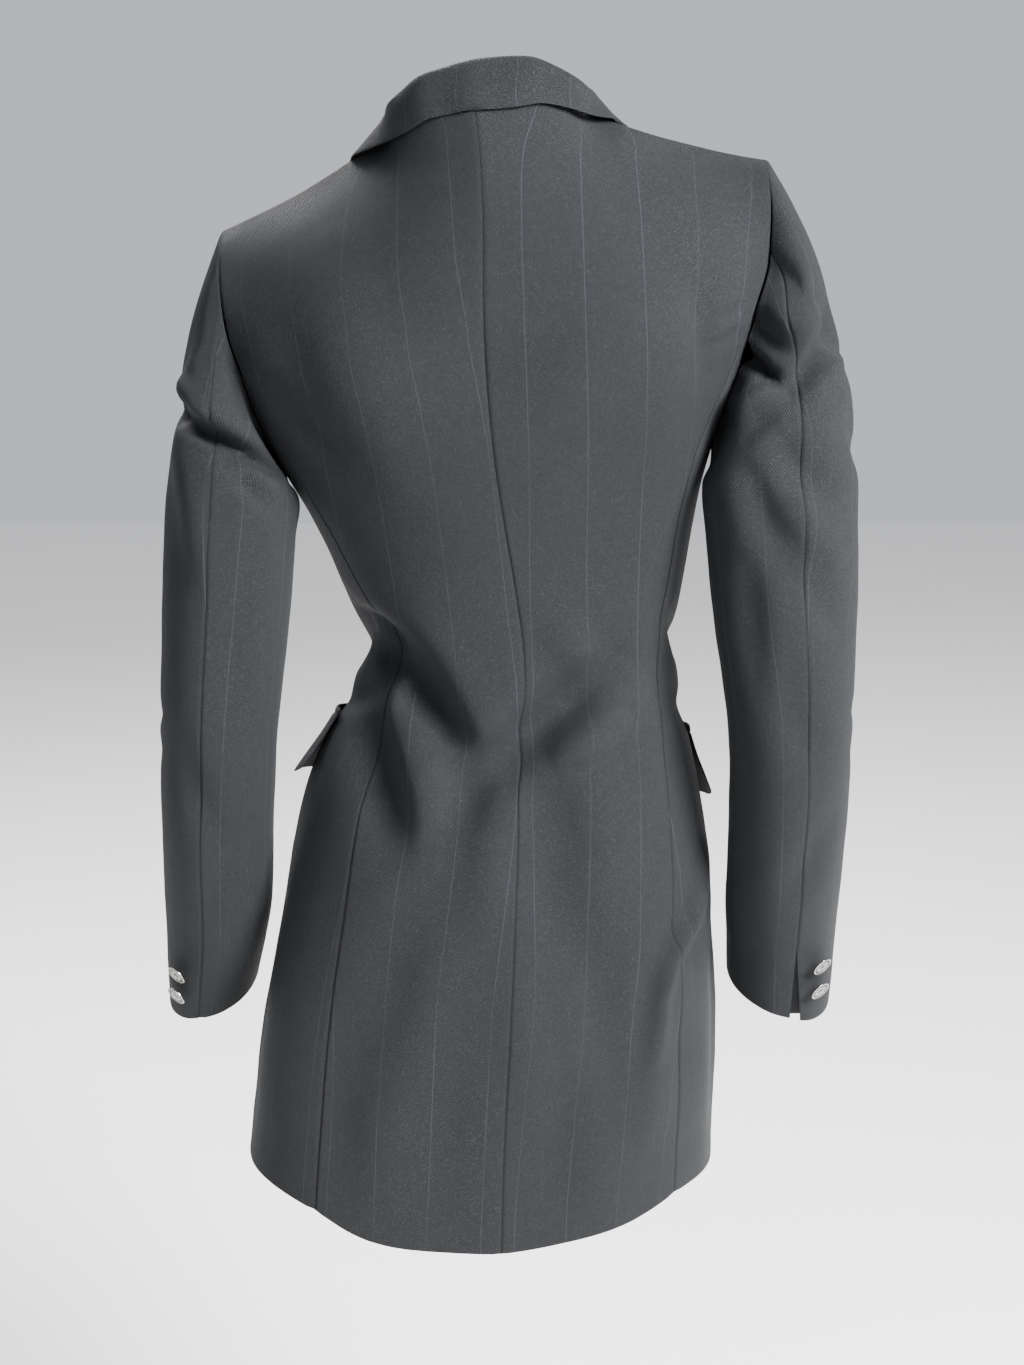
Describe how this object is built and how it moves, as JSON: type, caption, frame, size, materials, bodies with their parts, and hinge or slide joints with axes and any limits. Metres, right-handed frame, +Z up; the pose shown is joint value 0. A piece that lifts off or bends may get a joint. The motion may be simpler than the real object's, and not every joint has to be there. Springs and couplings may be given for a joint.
{
  "type": "blazer",
  "caption": "Long fitted single-breasted blazer in dark pinstripe cloth, worn and buttoned, with notched lapels, hip pocket flaps and cuff vents with metal buttons.",
  "frame": {"origin": "the nape: the top of the centre back seam, where the collar is sewn on and the wearer's neck carries the garment", "axes": "+Z up, -Y towards the front, +X towards the wearer's left"},
  "size_m": [0.5657, 0.2957, 0.9392],
  "materials": {
    "suiting": "matt woven wool with fine pale pinstripes",
    "metal": "polished, slightly worn"
  },
  "bodies": {
    "root": {"back_left": "suiting", "back_right": "suiting", "side_left": "suiting", "side_right": "suiting", "front_left": "suiting", "front_right": "suiting", "top_sleeve_left": "suiting", "top_sleeve_right": "suiting", "under_sleeve_left": "suiting", "under_sleeve_right": "suiting", "collar_fall": "suiting", "collar_stand": "suiting", "lapel_left": "suiting", "lapel_right": "suiting", "pocket_flap_left": "suiting", "pocket_flap_right": "suiting", "pocket_jet_left": "suiting", "pocket_jet_right": "suiting", "front_button_1": "metal", "front_button_2": "metal", "front_button_3": "metal", "cuff_button_left_1": "metal", "cuff_button_left_2": "metal", "cuff_button_right_1": "metal", "cuff_button_right_2": "metal"}
  },
  "joints": []
}
